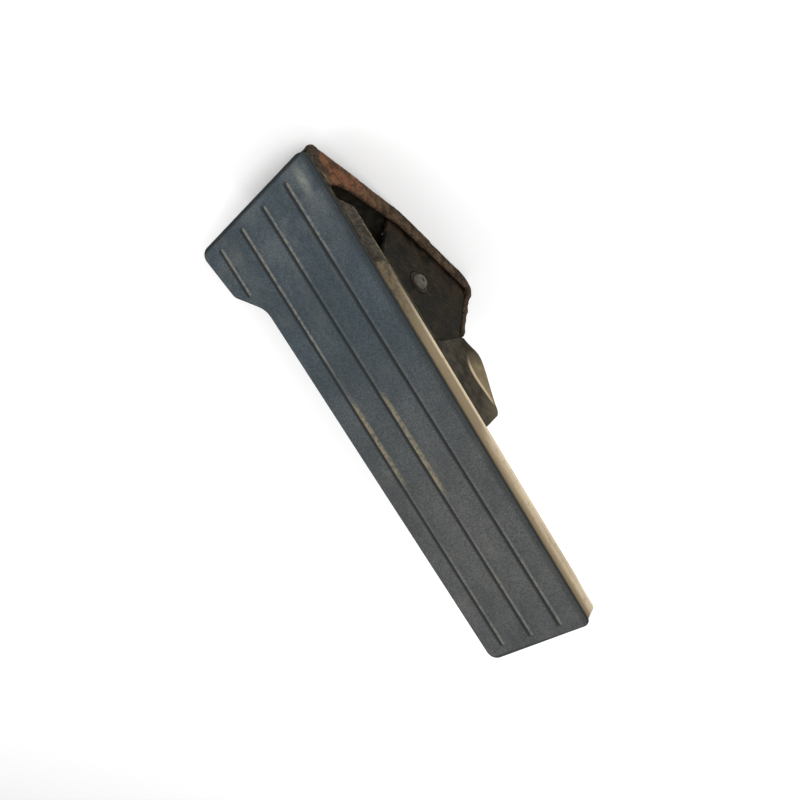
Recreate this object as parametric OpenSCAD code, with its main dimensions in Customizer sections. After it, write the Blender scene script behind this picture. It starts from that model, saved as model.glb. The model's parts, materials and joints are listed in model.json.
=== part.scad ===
// Floor-mounted treadle throttle pedal: a ribbed rubber pad on a sheet-steel treadle that
// tilts on a cross pin above a pressed floor pan. +Y points to the toe, +X to the driver's
// right, and the origin is on the floor directly below the pivot.

/* [Tread pad] */
// Length from the heel edge to the toe edge, on the centre line
pad_length = 299; // [280:1:305]
// Half width of the pad level with the pivot
pad_half_width = 37.5; // [37:0.1:40]
// Reach of the heel flare to the right of the centre line
flare_reach = 57; // [54:0.2:58]
// Thickness of the rubber pad under the ribs
pad_thickness = 3; // [2.5:0.5:4]
// Distance between neighbouring ribs
rib_spacing = 20; // [18:0.5:21]
// Width of each rib
rib_width = 2.8; // [2:0.1:4]
// Height of each rib above the pad
rib_height = 1.2; // [0.8:0.1:1.6]

/* [Treadle] */
// Slope of the treadle at rest, in degrees from the floor
rest_slope = 32; // [28:1:34]
// Travel from idle to full throttle, in degrees
travel = 16; // [12:1:16]
// Height of the pad's face above the pivot axis, square to the face
pad_rise = 50; // [49:0.5:52]
// Distance along the pad from its ribs' heel ends to the pivot
pivot_from_ribs = 82; // [80:1:84]
// Thickness of the tread plate
plate_thickness = 2.5; // [2:0.1:2.5]
// Depth of the side skirts below the pad's face
skirt_depth = 16.5; // [14:0.5:18]
// Thickness of the treadle frame's top web
frame_thickness = 3; // [2.5:0.1:3]

/* [Floor pan] */
// Height of the pivot axis above the floor
pivot_height = 40; // [40:0.5:44]
// Thickness of the pan's floor
pan_thickness = 4; // [3:0.2:4]
// Angle at which the nose of the pan rises towards the heel
nose_angle = 13.5; // [10:0.5:14]
// Distance between neighbouring floor bolts, along both X and Y
bolt_spacing = 36; // [34:1:38]
// Diameter of the floor bolt holes
bolt_hole = 9; // [8:0.5:10]
// Outer face of each upright cheek, from the centre
cheek_face = 29.7; // [29:0.1:30]
// Thickness of each cheek
cheek_thickness = 4; // [3:0.2:4]

/* [Pivot] */
// Diameter of the pivot pin
pin_diameter = 9.5; // [9:0.1:9.6]
// Radial running clearance of the pin in its bushes
running_clearance = 0.05; // [0.03:0.01:0.08]
// Wire diameter of the return springs
wire = 3; // [2.5:0.1:3]

/* [Hidden] */
$fn = 48;

// Small gap that keeps neighbouring solids from sharing a face
gap = 0.05;

// Levels in the treadle's own frame, measured square to the pad from the pivot axis
pad_bottom = pad_rise - pad_thickness;
plate_bottom = pad_bottom - plate_thickness;
frame_bottom = plate_bottom - frame_thickness;
skirt_bottom = pad_rise - skirt_depth;

// Stations along the treadle, measured from the pivot towards the toe
rib_start = -pivot_from_ribs;
heel_end = rib_start - 5.4;
toe_end = heel_end + pad_length;
flare_end = rib_start + 32.6;
flare_blend_end = rib_start + 49.3;
skirt_start = rib_start + 62;
frame_start = rib_start + 20;
frame_end = rib_start + 172;

// Narrowing of the pad's half width per millimetre towards the toe
edge_taper = 0.0133;
// Distance from the centre plane to the pad's own centre line
pad_shift = 0.7;
// Slant of the heel edge
heel_skew = 0.105;
// Narrowing of the flare from its heel corner to its toe corner
flare_slant = 4;

// Positions across the treadle
frame_face = 32.5;
frame_wall = 2;
skirt_wall = 1.8;
plate_inset = 0.8;
lug_outer = 23.2;
lug_thickness = 5;
lug_radius = 12;
sleeve_half = 18.1;

// Floor pan outline
nose_bend_y = -25;
nose_tip_y = -94.5;
nose_skew = 3.5;
nose_corner = 3;
front_y = 46;
front_radius = 12;
front_top = 50;
front_lean = 3;
rim_thickness = 2.6;
nose_half_width = 35;
front_half_width = 33;

cheek_inner = cheek_face - cheek_thickness;
cheek_back = -30;
cheek_front = 40.5;

bush_wall = 2.25;
bush_outer = pin_diameter + 2 * (running_clearance + bush_wall);
flange_thickness = 1.3;
buffer_height = 3;
pin_stand_out = 3.9;
head_radius = 4.5;

screw_y = 25;
screw_diameter = 8;
cap_height = 3;
cap_radius = 5;
full_slope = rest_slope - travel;
cap_top = pivot_height + (frame_bottom + (screw_y - cap_radius) * sin(full_slope)) / cos(full_slope) - gap;

coil_radius = 10.5;
coil_inner_x = 3.6;
coil_outer_x = 15.6;
floor_leg_angle = -60;
tread_leg_angle = rest_slope - 41;
floor_leg = 45;
tread_leg = 62.5;

sensor_face = cheek_face + 0.5;
sensor_radius = 20.5;
sensor_depth = 15;
ear_thickness = 5;
cover_thickness = 2.4;
rotor_radius = 11;

rust = "saddlebrown";
dark_steel = [0.22, 0.2, 0.18];
dusty_steel = [0.68, 0.6, 0.48];
plated = "silver";
rubber = [0.33, 0.36, 0.39];
black_plastic = [0.12, 0.12, 0.12];

// Half width of the pad at a station along it
function half_width(station) = pad_half_width - edge_taper * station;

// Station of the slanted heel edge at a place across the pad
function heel_edge(across) = heel_end + heel_skew * (across - pad_shift);

// Height of the pan's underside at a place along the floor
function pan_underside(y) = y > nose_bend_y ? 0 : (nose_bend_y - y) * tan(nose_angle);

// Places children in the treadle's own frame: origin on the pivot axis, Y along the pad
module on_treadle(slope = rest_slope) {
    translate([0, 0, pivot_height]) rotate([slope, 0, 0]) children();
}

// Extrudes a profile drawn in the (Y, Z) plane from x0 to x1
module across(x0, x1) {
    translate([x0, 0, 0]) rotate([90, 0, 90]) linear_extrude(x1 - x0) children();
}

// Repeats children on both sides of the centre plane
module both_sides() {
    children();
    mirror([1, 0, 0]) children();
}

// Cylinder along X from x0 to x1, centred on the pivot axis
module pivot_rod(d, x0, x1, facets = 48) {
    translate([x0, 0, pivot_height]) rotate([0, 90, 0]) cylinder(d = d, h = x1 - x0, $fn = facets);
}

// ---- Fixed bracket ----

// Plan outline of the pan, narrower towards the toe; an inset draws in its two long sides
module pan_plan(inset = 0) {
    over = inset > 0 ? 10 : 0;
    nose = nose_half_width - inset;
    front = front_half_width - inset;
    heel = nose_tip_y - over;
    polygon([
        [-nose, heel - nose_skew], [nose, heel + nose_skew],
        [front, front_y + over], [-front, front_y + over]
    ]);
}

// Plan outline of the whole pan, with rounded corners
module pan_outline() {
    offset(r = nose_corner) offset(delta = -nose_corner) pan_plan();
}

// Side profile of the pan's floor, with the raised nose and the rounded front corner
module pan_floor_profile() {
    back = nose_tip_y - nose_skew;
    polygon([
        [back, pan_underside(back)], [nose_bend_y, 0], [front_y - front_radius, 0],
        [front_y - front_radius, pan_thickness], [nose_bend_y, pan_thickness],
        [back, pan_underside(back) + pan_thickness]
    ]);
    intersection() {
        translate([front_y - front_radius, front_radius]) difference() {
            circle(front_radius, $fn = 64);
            circle(front_radius - pan_thickness, $fn = 64);
        }
        translate([front_y - front_radius, 0]) square(front_radius);
    }
    polygon([
        [front_y - pan_thickness, front_radius], [front_y, front_radius],
        [front_y - front_lean, front_top], [front_y - front_lean - pan_thickness + 0.5, front_top]
    ]);
}

// Side profile of one turned-up edge, rising at the heel into an ear under the tread plate
module rim_profile() {
    back = nose_tip_y - nose_skew;
    difference() {
        polygon([
            [back, pan_underside(back)], [nose_bend_y, 0], [front_y - front_radius, 0],
            [front_y - 4, 4], [front_y - 4, 9], [0, 9.5], [nose_bend_y, 11.5], [-64, 23.5],
            [-73, 28], [-78, 50], [back, 50]
        ]);
        translate([-69.5, 36]) circle(8);
        below_treadle(rest_slope, plate_bottom - 0.8, over = true);
    }
}

// Half plane below a level of the treadle at a slope, or above it when over is true
module below_treadle(slope, level, over = false) {
    translate([0, pivot_height]) rotate(slope)
        translate([-200, over ? level : level - 200]) square([400, 200]);
}

module base_pan() {
    front_trim = 12;
    color(rust) difference() {
        union() {
            intersection() {
                across(-40, 40) pan_floor_profile();
                linear_extrude(60) pan_outline();
            }
            intersection() {
                across(-40, 40) rim_profile();
                linear_extrude(60) difference() {
                    pan_outline();
                    pan_plan(rim_thickness);
                }
            }
        }
        for (x = [-1, 1], y = [-1, 1])
            translate([x * bolt_spacing / 2, y * bolt_spacing / 2, -1])
                cylinder(d = bolt_hole, h = pan_thickness + 2);
        both_sides() across(cheek_face + 0.6, 40) polygon([
            [front_y - front_trim, front_radius + 6], [front_y + 1, front_radius],
            [front_y + 1, front_top + 1], [front_y - front_trim, front_top + 1]
        ]);
    }
}

// Upright cheek: square on the floor, topped by the treadle's two end positions
module cheek_profile() {
    top = frame_bottom - 2;
    foot = pan_thickness + gap;
    heel_foot = pan_underside(cheek_back) + foot;
    lean = front_lean * (100 - front_radius) / (front_top - front_radius);
    difference() {
        intersection() {
            polygon([
                [cheek_back, heel_foot], [nose_bend_y, foot], [front_y - front_radius - 1, foot],
                [cheek_front, front_radius - 1], [cheek_front + 1, front_radius + 4],
                [cheek_front + 1 - lean, 100], [cheek_back, 100]
            ]);
            below_treadle(rest_slope, top);
            below_treadle(full_slope, top);
        }
        translate([0, pivot_height]) circle(d = bush_outer + 0.04);
    }
}

module cheek(side) {
    x0 = side > 0 ? cheek_inner : -cheek_face;
    color(dark_steel) across(x0, x0 + cheek_thickness) cheek_profile();
}

module cheek_left() { cheek(-1); }

module cheek_right() { cheek(1); }

// Fillet welds that hold the cheeks to the pan's floor, outside and inside
module weld_beads() {
    leg = 2.4;
    color(dark_steel) both_sides() {
        for (y = [-22, 2])
            translate([cheek_inner - gap, y, pan_thickness + gap]) rotate([-90, 0, 0])
                linear_extrude(20) polygon([[0, 0], [-leg, 0], [0, -leg]]);
    }
}

// Folded bridge across the nose that carries the idle buffer
module heel_rest() {
    top = plate_bottom - buffer_height;
    bend = rib_start + 8;
    color(rust) intersection() {
        on_treadle() across(4 - nose_half_width, nose_half_width - 4) polygon([
            [heel_end + 5, top], [bend, top], [bend + 3, top - 3], [bend + 3, top - 40],
            [bend, top - 40], [bend, top - 4], [bend - 1, top - 3], [heel_end + 5, top - 3]
        ]);
        across(-40, 40) polygon([
            [nose_tip_y, pan_underside(nose_tip_y) + pan_thickness + gap],
            [nose_bend_y, pan_thickness + gap], [nose_bend_y, 60], [nose_tip_y, 60]
        ]);
    }
}

module heel_buffer() {
    color(black_plastic) on_treadle()
        translate([-22, rib_start + 1, plate_bottom - buffer_height + gap])
            cube([44, 8, buffer_height - 2 * gap]);
}

// Flanged bush in each cheek
module pivot_bushes() {
    bore = pin_diameter + 2 * running_clearance;
    color("darkgoldenrod") both_sides() difference() {
        union() {
            pivot_rod(bush_outer, cheek_inner - flange_thickness, cheek_face + 0.4);
            pivot_rod(18, cheek_inner - flange_thickness, cheek_inner - gap);
        }
        pivot_rod(bore, cheek_inner - 5, cheek_face + 5);
    }
}

module thrust_washers() {
    color(plated) both_sides() difference() {
        pivot_rod(18, lug_outer + 0.1, lug_outer + 1);
        pivot_rod(pin_diameter + 0.6, lug_outer - 1, lug_outer + 2);
    }
}

// Angle welded inside the front upstand, tapped for the full-throttle stop screw
module stop_bracket() {
    back = 15;
    front = front_y - front_lean - pan_thickness - 0.6;
    top = front_top - 2;
    color(dark_steel) difference() {
        across(-13, 13) polygon([
            [back, top], [front, top], [front, top - 18], [front - 3.5, top - 18],
            [front - 3.5, top - 4], [back, top - 4]
        ]);
        translate([0, screw_y, top - 6]) cylinder(d = screw_diameter + 0.04, h = 8);
    }
}

module stop_screw() {
    head_height = 5.3;
    color(plated) translate([0, screw_y, 0]) {
        translate([0, 0, front_top - 14])
            cylinder(d = screw_diameter, h = cap_top - cap_height - front_top + 13);
        translate([0, 0, cap_top - cap_height - head_height])
            cylinder(d = 15, h = head_height, $fn = 6);
    }
}

module stop_nut() {
    color(plated) translate([0, screw_y, front_top - 2 + gap]) difference() {
        cylinder(d = 15, h = 6, $fn = 6);
        translate([0, 0, -1]) cylinder(d = screw_diameter + 0.04, h = 8);
    }
}

// Rubber cap over the stop screw's head
module stop_cap() {
    edge = 1.6;
    color(black_plastic) translate([0, screw_y, cap_top - cap_height + gap]) {
        cylinder(r = cap_radius + 1.5, h = edge);
        translate([0, 0, edge])
            cylinder(r1 = cap_radius + 1.5, r2 = cap_radius, h = cap_height - edge - gap);
    }
}

// One ring of the wire's section at point p, square to direction t in the (Y, Z) plane
function wire_ring(p, t, sides = 8) = [
    for (i = [0 : sides - 1])
        let (c = cos(360 * i / sides) * wire / 2, s = sin(360 * i / sides) * wire / 2)
            [p[0] + c, p[1] - t[1] * s, p[2] + t[0] * s]
];

// Closed tube through a list of rings
module tube(rings) {
    sides = len(rings[0]);
    last = len(rings) - 1;
    walls = [
        for (r = [0 : last - 1], i = [0 : sides - 1])
            let (j = (i + 1) % sides)
                [r * sides + i, r * sides + j, (r + 1) * sides + j, (r + 1) * sides + i]
    ];
    start_cap = [[for (i = [sides - 1 : -1 : 0]) i]];
    end_cap = [[for (i = [0 : sides - 1]) last * sides + i]];
    polyhedron(
        points = [for (ring = rings, p = ring) p],
        faces = concat(walls, start_cap, end_cap),
        convexity = 8
    );
}

// Return spring: a coil round the sleeve, one leg on the pan, the other under the treadle
module return_spring() {
    steps = 76;
    function angle(i) = floor_leg_angle + (tread_leg_angle - floor_leg_angle + 1080) * i / steps;
    function coil_point(i) = [
        coil_inner_x + (coil_outer_x - coil_inner_x) * i / steps,
        coil_radius * cos(angle(i)), pivot_height + coil_radius * sin(angle(i))
    ];
    function heading(i) = [-sin(angle(i)), cos(angle(i))];
    function leg_end(i, reach) = coil_point(i) + reach * [0, heading(i)[0], heading(i)[1]];
    tube(concat(
        [wire_ring(leg_end(0, -floor_leg), heading(0))],
        [for (i = [0 : steps]) wire_ring(coil_point(i), heading(i))],
        [wire_ring(leg_end(steps, tread_leg), heading(steps))]
    ));
}

module spring_right() { color(plated) return_spring(); }

module spring_left() { color(plated) mirror([1, 0, 0]) return_spring(); }

// Bar welded to the pan that keeps the springs' floor legs from walking
module spring_anchor() {
    width = 18;
    color(dark_steel) translate([-width / 2, nose_bend_y + 1, pan_thickness + gap]) difference() {
        cube([width, 4, 15]);
        for (side = [-1, 1])
            translate([width / 2 + side * coil_inner_x - 1.8, -1, 8]) cube([3.6, 6, 10]);
    }
}

// Repeats children at the sensor's two screw holes, on the cheek's outer side
module sensor_screw_spots(x) {
    for (y = [-17, 17])
        translate([x, y, pivot_height - 21.5]) rotate([0, 90, 0]) children();
}

// Position sensor on the right cheek, in line with the pin, with a socket facing the heel
module sensor_housing() {
    x0 = sensor_face;
    socket_heel = -40;
    color(black_plastic) difference() {
        union() {
            pivot_rod(2 * sensor_radius, x0, x0 + sensor_depth);
            sensor_screw_spots(x0) cylinder(d = 11, h = ear_thickness);
            translate([x0, -17, pivot_height - 27]) cube([ear_thickness, 34, 14]);
            translate([x0 + 1, socket_heel, pivot_height - 15]) cube([14, 30, 13]);
        }
        pivot_rod(2 * rotor_radius + 5, x0 + 2, x0 + sensor_depth + 1);
        pivot_rod(bush_outer + 1.5, x0 - 1, x0 + 3);
        sensor_screw_spots(x0 - 1) cylinder(d = 5, h = 8);
        translate([x0 + 3, socket_heel - 1, pivot_height - 13]) cube([10, 15, 9]);
    }
}

module sensor_cover() {
    x0 = sensor_face + sensor_depth + gap;
    color(black_plastic) {
        pivot_rod(2 * sensor_radius - 1.4, x0, x0 + cover_thickness);
        pivot_rod(2 * rotor_radius - 6, x0 + cover_thickness, x0 + cover_thickness + 0.8);
    }
}

// Pan-head screws that hold the sensor to the cheek
module sensor_screws() {
    color(plated) sensor_screw_spots(sensor_face + ear_thickness + gap) difference() {
        union() {
            cylinder(d = 9, h = 3);
            translate([0, 0, -ear_thickness]) cylinder(d = 4.8, h = ear_thickness + 0.5);
        }
        translate([0, 0, 1.6]) cylinder(d = 4, h = 3, $fn = 6);
    }
}

module sensor_board() {
    x0 = sensor_face + sensor_depth - 3;
    color("darkgreen") pivot_rod(2 * rotor_radius + 4, x0, x0 + 1.6);
}

module connector_pins() {
    color("gold") for (level = [-11.6, -8.5, -5.4])
        translate([sensor_face + 9.4, -37, pivot_height + level - 0.6])
            cube([1.6, 11 - gap, 1.2]);
}

// ---- Treadle ----

// Plan outline of the pad, drawn in by an inset: a tapering strip with a flare at the heel
module tread_plan(inset = 0) {
    corner = 6;
    blend_radius = 14;
    left_heel = pad_shift - half_width(heel_end);
    right_heel = flare_reach;
    blend = half_width(flare_blend_end) + pad_shift;
    toe = half_width(toe_end);
    offset(r = corner - inset) offset(delta = -corner)
    offset(r = -blend_radius) offset(delta = blend_radius) polygon([
        [left_heel, heel_edge(left_heel)], [right_heel, heel_edge(right_heel)],
        [right_heel - flare_slant, flare_end], [blend, flare_blend_end],
        [pad_shift + toe, toe_end + 0.6], [pad_shift - toe, toe_end - 0.6]
    ]);
}

module pad_rib(index, length) {
    translate([
        (index - 1) * rib_spacing + 1 - rib_width / 2,
        rib_start + 2 * index, pad_rise - 1
    ]) cube([rib_width, length, rib_height + 1]);
}

// Rubber pad with its ribs and the moulded plugs that pass through the tread plate
module tread_pad() {
    rib_length = toe_end - 6.5 - rib_start;
    short_rib_length = flare_end - rib_start;
    color(rubber) on_treadle() {
        translate([0, 0, pad_bottom + gap]) linear_extrude(pad_thickness - gap) tread_plan();
        for (i = [0 : 2]) pad_rib(i, rib_length - 2 * i);
        pad_rib(3, short_rib_length);
        pad_plug_spots() {
            translate([0, 0, plate_bottom - 0.5]) cylinder(d = 7.8, h = plate_thickness + 1);
            translate([0, 0, plate_bottom - 2.5]) cylinder(d1 = 8, d2 = 12, h = 2.5 - gap);
        }
    }
}

// Skirt under both long edges and the toe edge, with a rounded start at the heel
module skirt() {
    bend = 6;
    start = skirt_start;
    toe = toe_end + 2;
    intersection() {
        translate([0, 0, skirt_bottom]) linear_extrude(plate_bottom - skirt_bottom + 1) difference() {
            tread_plan(plate_inset);
            tread_plan(plate_inset + skirt_wall);
        }
        across(-60, 60) {
            translate([start + bend, skirt_bottom]) square([toe - bend - start, 20]);
            translate([start, skirt_bottom + bend]) square([toe - start, 20]);
            translate([start + bend, skirt_bottom + bend]) circle(bend);
        }
    }
}

module tread_plate() {
    color(dusty_steel) on_treadle() difference() {
        union() {
            translate([0, 0, plate_bottom]) linear_extrude(plate_thickness)
                tread_plan(plate_inset);
            skirt();
        }
        pad_plug_spots() translate([0, 0, plate_bottom - 1]) cylinder(d = 8, h = plate_thickness + 2);
        frame_rivet_spots() translate([0, 0, plate_bottom - 1]) cylinder(d = 5.04, h = 4);
    }
}

// Where the pad's plugs pass through the tread plate
module pad_plug_spots() {
    for (x = [-20, 20], station = [104, 144, 184]) translate([x, station, 0]) children();
}

// Where the treadle frame is riveted to the tread plate
module frame_rivet_spots() {
    for (x = [-14, 14], station = [-54, -34, 56, 78]) translate([x, station, 0]) children();
}

// Side web of the treadle frame, with the lobe that hangs ahead of the bracket
module frame_web_profile() {
    heel = frame_start;
    edge = pad_rise - 26;
    top = plate_bottom - gap;
    polygon([
        [heel, top], [heel, pad_rise - 13], [heel + 8, edge], [rib_start + 116, edge],
        [rib_start + 123, pad_rise - 56], [rib_start + 128, pad_rise - 53],
        [rib_start + 137, pad_rise - 45], [rib_start + 145, pad_rise - 42.5],
        [rib_start + 169, pad_rise - 44.5], [frame_end, pad_rise - 42], [frame_end, top]
    ]);
}

// Small tile of the flared lip, set out from the web and down from its edge
module lip_tile(station, level, out) {
    translate([frame_face - frame_wall + out, rib_start + station, pad_rise - level - out])
        cube([frame_wall, 1, 1.4]);
}

// Lip that flares outwards along the lobe's lower edge, widest near its heel end
module flared_lip() {
    hull() {
        lip_tile(124, 52, 0);
        lip_tile(138, 44, 0);
        lip_tile(137, 44, 6);
    }
    hull() {
        lip_tile(138, 44, 0);
        lip_tile(137, 44, 6);
        lip_tile(151, 43, 4);
        lip_tile(169, 44, 0);
    }
}

module treadle_frame() {
    color(dark_steel) on_treadle() difference() {
        union() {
            translate([-frame_face, frame_start, frame_bottom])
                cube([2 * frame_face, frame_end - frame_start, frame_thickness - gap]);
            both_sides() {
                across(frame_face - frame_wall, frame_face) frame_web_profile();
                flared_lip();
            }
        }
        frame_rivet_spots() translate([0, 0, frame_bottom - 1]) cylinder(d = 5.04, h = 5);
    }
}

module frame_rivets() {
    color(plated) on_treadle() frame_rivet_spots() {
        head = frame_bottom - gap;
        translate([0, 0, head - 1.5]) cylinder(d = 5, h = pad_bottom - gap - head + 1.5);
        translate([0, 0, head - 1]) cylinder(d = 9, h = 1);
        translate([0, 0, head - 2.2]) cylinder(d1 = 5, d2 = 9, h = 1.2);
    }
}

// Lug that hangs from the frame and carries the pin
module lug(side) {
    x0 = side > 0 ? lug_outer - lug_thickness : -lug_outer;
    x1 = x0 + lug_thickness;
    color(dark_steel) on_treadle() difference() {
        union() {
            across(x0, x1)
                polygon([[-20, frame_bottom - gap], [20, frame_bottom - gap], [10, -5], [-10, -5]]);
            across(x0, x1) circle(lug_radius);
        }
        across(x0 - 1, x1 + 1) circle(d = pin_diameter + 0.04);
    }
}

module lug_left() { lug(-1); }

module lug_right() { lug(1); }

// Fillet welds between the lugs and the frame
module lug_welds() {
    leg = 3;
    color(dark_steel) on_treadle() both_sides()
        translate([lug_outer - lug_thickness - gap, -15, frame_bottom - gap]) rotate([-90, 0, 0])
            linear_extrude(30) polygon([[0, 0], [-leg, 0], [0, leg]]);
}

// Pivot pin: domed and dimpled head on the left, flat drive end in the sensor on the right
module pivot_pin() {
    head_start = cheek_face + 0.5;
    drive_end = cheek_face + 9;
    dome = pin_stand_out - 0.5;
    dome_radius = (head_radius * head_radius + dome * dome) / (2 * dome);
    color(plated) difference() {
        union() {
            pivot_rod(pin_diameter, -head_start, drive_end);
            intersection() {
                pivot_rod(2 * head_radius, -head_start - dome, -head_start);
                translate([-head_start - dome + dome_radius, 0, pivot_height])
                    sphere(dome_radius, $fn = 64);
            }
        }
        pivot_rod(2.4, -head_start - dome - 1, -head_start - dome + 0.9);
        translate([cheek_face + 3, -5, pivot_height + 3]) cube([10, 10, 4]);
        pivot_key_bore(3.04);
    }
}

// Cross bore through the pin at the left lug, square to the pad
module pivot_key_bore(d, length = 16) {
    translate([-(lug_outer - lug_thickness / 2), 0, pivot_height]) rotate([rest_slope, 0, 0])
        translate([0, 0, -length / 2]) cylinder(d = d, h = length);
}

// Cross pin that locks the pivot pin to the left lug
module drive_key() {
    color(plated) pivot_key_bore(3, pin_diameter - 0.8);
}

module spring_sleeve() {
    color(black_plastic) difference() {
        pivot_rod(14, -sleeve_half, sleeve_half);
        pivot_rod(pin_diameter + 0.4, -sleeve_half - 1, sleeve_half + 1);
    }
}

// Magnet carrier on the flat end of the pin
module sensor_rotor() {
    x0 = cheek_face + 3.6;
    color("dimgray") difference() {
        pivot_rod(2 * rotor_radius, x0, x0 + 7);
        difference() {
            pivot_rod(pin_diameter + 0.1, x0 - 1, cheek_face + 9.1);
            translate([x0 - 2, -6, pivot_height + 3.05]) cube([12, 12, 4]);
        }
    }
}

base_pan();
cheek_left();
cheek_right();
weld_beads();
heel_rest();
heel_buffer();
pivot_bushes();
thrust_washers();
stop_bracket();
stop_screw();
stop_nut();
stop_cap();
spring_left();
spring_right();
spring_anchor();
sensor_housing();
sensor_cover();
sensor_screws();
sensor_board();
connector_pins();
tread_pad();
tread_plate();
treadle_frame();
frame_rivets();
lug_left();
lug_right();
lug_welds();
pivot_pin();
drive_key();
spring_sleeve();
sensor_rotor();
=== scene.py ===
"""Looks of a worn floor-mounted treadle throttle pedal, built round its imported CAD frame.

Mesh code works in millimetres. Pieces of the treadle are drawn in the treadle's own frame:
the pivot is the origin, Y runs along the pad to the toe and Z is square to the pad.
"""

import json
import math

import bmesh
import bpy
from mathutils import Matrix, Vector, noise


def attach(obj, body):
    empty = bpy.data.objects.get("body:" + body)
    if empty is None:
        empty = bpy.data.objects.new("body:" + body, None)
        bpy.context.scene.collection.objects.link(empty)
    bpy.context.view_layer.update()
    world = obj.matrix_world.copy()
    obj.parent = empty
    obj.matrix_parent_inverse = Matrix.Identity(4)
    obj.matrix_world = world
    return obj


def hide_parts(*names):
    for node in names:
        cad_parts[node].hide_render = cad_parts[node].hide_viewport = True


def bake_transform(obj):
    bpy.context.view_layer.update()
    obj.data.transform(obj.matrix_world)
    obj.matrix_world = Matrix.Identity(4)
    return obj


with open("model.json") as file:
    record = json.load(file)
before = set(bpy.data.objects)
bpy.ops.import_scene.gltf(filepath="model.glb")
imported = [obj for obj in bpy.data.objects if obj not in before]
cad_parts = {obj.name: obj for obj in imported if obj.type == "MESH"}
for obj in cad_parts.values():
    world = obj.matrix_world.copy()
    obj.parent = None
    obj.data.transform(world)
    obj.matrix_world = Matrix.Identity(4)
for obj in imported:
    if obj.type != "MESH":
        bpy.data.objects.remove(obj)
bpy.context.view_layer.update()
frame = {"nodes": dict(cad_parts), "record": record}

MM = 0.001
PIVOT = Vector(frame["record"]["behaviour"]["joints"][0]["pos_m"])
REST_SLOPE = math.radians(32)
TREADLE = Matrix.Translation(PIVOT) @ Matrix.Rotation(REST_SLOPE, 4, "X")

# Levels above the pivot, in the treadle's frame
PAD_TOP = 50.0
PLATE_TOP, PLATE_BOTTOM = 47.0, 44.5
FRAME_TOP, FRAME_BOTTOM = 44.45, 41.5
SKIRT_BOTTOM = 33.5

# Stations along the treadle and widths across it
HEEL_END, TOE_END = -87.4, 211.6
RIB_START, RIB_END = -82.0, 205.1
RIB_SPACING, RIB_SHIFT = 20.0, 1.0
SKIRT_START, SKIRT_ROUNDING = -20.0, 6.0
FRAME_START = -62.0
FRAME_FACE, FRAME_WALL = 32.5, 2.0
PAD_SHIFT, HALF_WIDTH = 0.7, 37.5
# Slopes of the pad's sides and of its heel edge, against the ribs and square to them
SIDE_TAPER, HEEL_SKEW = 0.0133, 0.105


# ---- Mesh helpers ----


def ease(value, low, high):
    """Smooth step from 0 at low to 1 at high."""
    t = min(max((value - low) / (high - low), 0.0), 1.0)
    return t * t * (3 - 2 * t)


def straight(value, stops):
    """Straight interpolation through (place, value) stops."""
    for (a, va), (b, vb) in zip(stops, stops[1:]):
        if value <= b:
            return va + (vb - va) * max(0.0, (value - a) / (b - a))
    return stops[-1][1]


def rounded_outline(corners, spacing):
    """Closed outline through (x, y, radius) corners; spacing(y) is the longest straight step."""
    points = []
    for i, (x, y, radius) in enumerate(corners):
        corner = Vector((x, y))
        before = (Vector(corners[i - 1][:2]) - corner).normalized()
        after = (Vector(corners[(i + 1) % len(corners)][:2]) - corner).normalized()
        half = before.angle(after) / 2
        centre = corner + (before + after).normalized() * (radius / math.sin(half))
        start = corner + before * (radius / math.tan(half)) - centre
        sweep = start.angle_signed(corner + after * (radius / math.tan(half)) - centre)
        steps = max(3, round(abs(sweep) / math.radians(9)))
        for k in range(steps + 1):
            points.append(centre + Matrix.Rotation(-sweep * k / steps, 2) @ start)
    dense = []
    for a, b in zip(points, points[1:] + points[:1]):
        dense.append(a)
        walked, length = 0.0, (b - a).length
        while True:
            walked += spacing(a.y + (b.y - a.y) * walked / length)
            if walked > length - 0.4:
                break
            dense.append(a.lerp(b, walked / length))
    return dense


def outline_normals(points):
    """Outward unit normals of a counter-clockwise outline."""
    normals = []
    for i in range(len(points)):
        edge = points[(i + 1) % len(points)] - points[i - 1]
        normals.append(Vector((edge.y, -edge.x)).normalized())
    return normals


def loft(bm, rings):
    """Closed skin through rings of points, with an end face on the first and last ring."""
    made = [[bm.verts.new(p) for p in ring] for ring in rings]
    for low, high in zip(made, made[1:]):
        for i in range(len(low)):
            j = (i + 1) % len(low)
            bm.faces.new((low[i], low[j], high[j], high[i]))
    bm.faces.new(reversed(made[0]))
    bm.faces.new(made[-1])


def lathe(bm, profile, place=Matrix.Identity(4), sides=40):
    """Turned solid from (radius, height) points, its axis along Z at place."""
    rings = []
    for radius, height in profile:
        rings.append([
            place @ Vector((
                max(radius, 0.01) * math.cos(math.tau * k / sides),
                max(radius, 0.01) * math.sin(math.tau * k / sides), height))
            for k in range(sides)
        ])
    loft(bm, rings)


def tube(bm, path, radius, sides=14):
    """Round bar along a path, with softened ends."""
    heading = (path[1] - path[0]).normalized()
    side = heading.orthogonal().normalized()
    rings = []
    for i, point in enumerate(path):
        ahead = (path[min(i + 1, len(path) - 1)] - path[max(i - 1, 0)]).normalized()
        side = (side - ahead * side.dot(ahead)).normalized()
        other = ahead.cross(side)
        ends = [(0, radius)]
        if i == 0:
            ends = [(0, radius * 0.75), (radius * 0.25, radius)]
        if i == len(path) - 1:
            ends = [(-radius * 0.25, radius), (0, radius * 0.75)]
        for shift, r in ends:
            rings.append([
                point + ahead * shift
                + side * (r * math.cos(math.tau * k / sides))
                + other * (r * math.sin(math.tau * k / sides))
                for k in range(sides)
            ])
    loft(bm, rings)


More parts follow.
